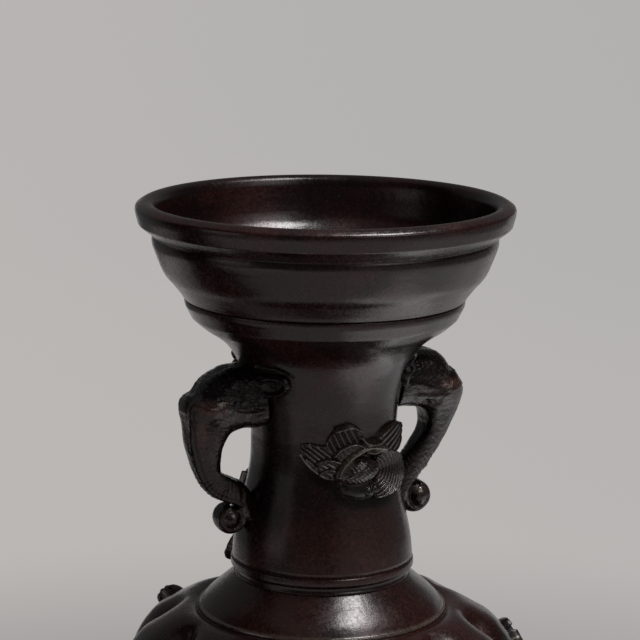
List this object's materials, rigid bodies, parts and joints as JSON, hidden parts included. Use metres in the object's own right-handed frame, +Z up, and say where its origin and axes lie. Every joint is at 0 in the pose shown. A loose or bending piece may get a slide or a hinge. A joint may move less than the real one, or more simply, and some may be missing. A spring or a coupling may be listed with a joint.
{
  "type": "metal vase",
  "caption": "Baluster bronze vase with a wide stepped mouth, trumpet neck, elephant-head handles, applied birds, lobed body and flared foot.",
  "frame": {"origin": "middle of the foot's underside, on the surface that the vase stands on", "axes": "+Z up along the vase's axis; the handles lie along X; -Y is the side with the front bird, midway between the handles"},
  "size_m": [0.1615, 0.16, 0.332],
  "materials": {
    "patinated_bronze": "dark brown patina over cast bronze, satin, with fine turning marks",
    "worn_bronze": "dark patina rubbed to red-brown on the raised places",
    "ornament_bronze": "dark patina with grey-brown high spots and olive dirt in the hollows",
    "rough_bronze": "unpolished cast bronze"
  },
  "bodies": {
    "root": {"mouth_cup": "patinated_bronze", "neck": "patinated_bronze", "body": "patinated_bronze", "foot": "patinated_bronze", "base_plate": "rough_bronze", "handle_left": "worn_bronze", "handle_right": "worn_bronze", "neck_bird_front": "ornament_bronze", "neck_bird_rear": "ornament_bronze", "body_bird_right": "ornament_bronze", "body_bird_left": "ornament_bronze", "handle_left_head_rivet": "rough_bronze", "handle_left_curl_rivet": "rough_bronze", "handle_right_head_rivet": "rough_bronze", "handle_right_curl_rivet": "rough_bronze", "neck_bird_front_rivet_1": "rough_bronze", "neck_bird_front_rivet_2": "rough_bronze", "neck_bird_rear_rivet_1": "rough_bronze", "neck_bird_rear_rivet_2": "rough_bronze", "body_bird_right_rivet_1": "rough_bronze", "body_bird_right_rivet_2": "rough_bronze", "body_bird_left_rivet_1": "rough_bronze", "body_bird_left_rivet_2": "rough_bronze"}
  },
  "joints": []
}
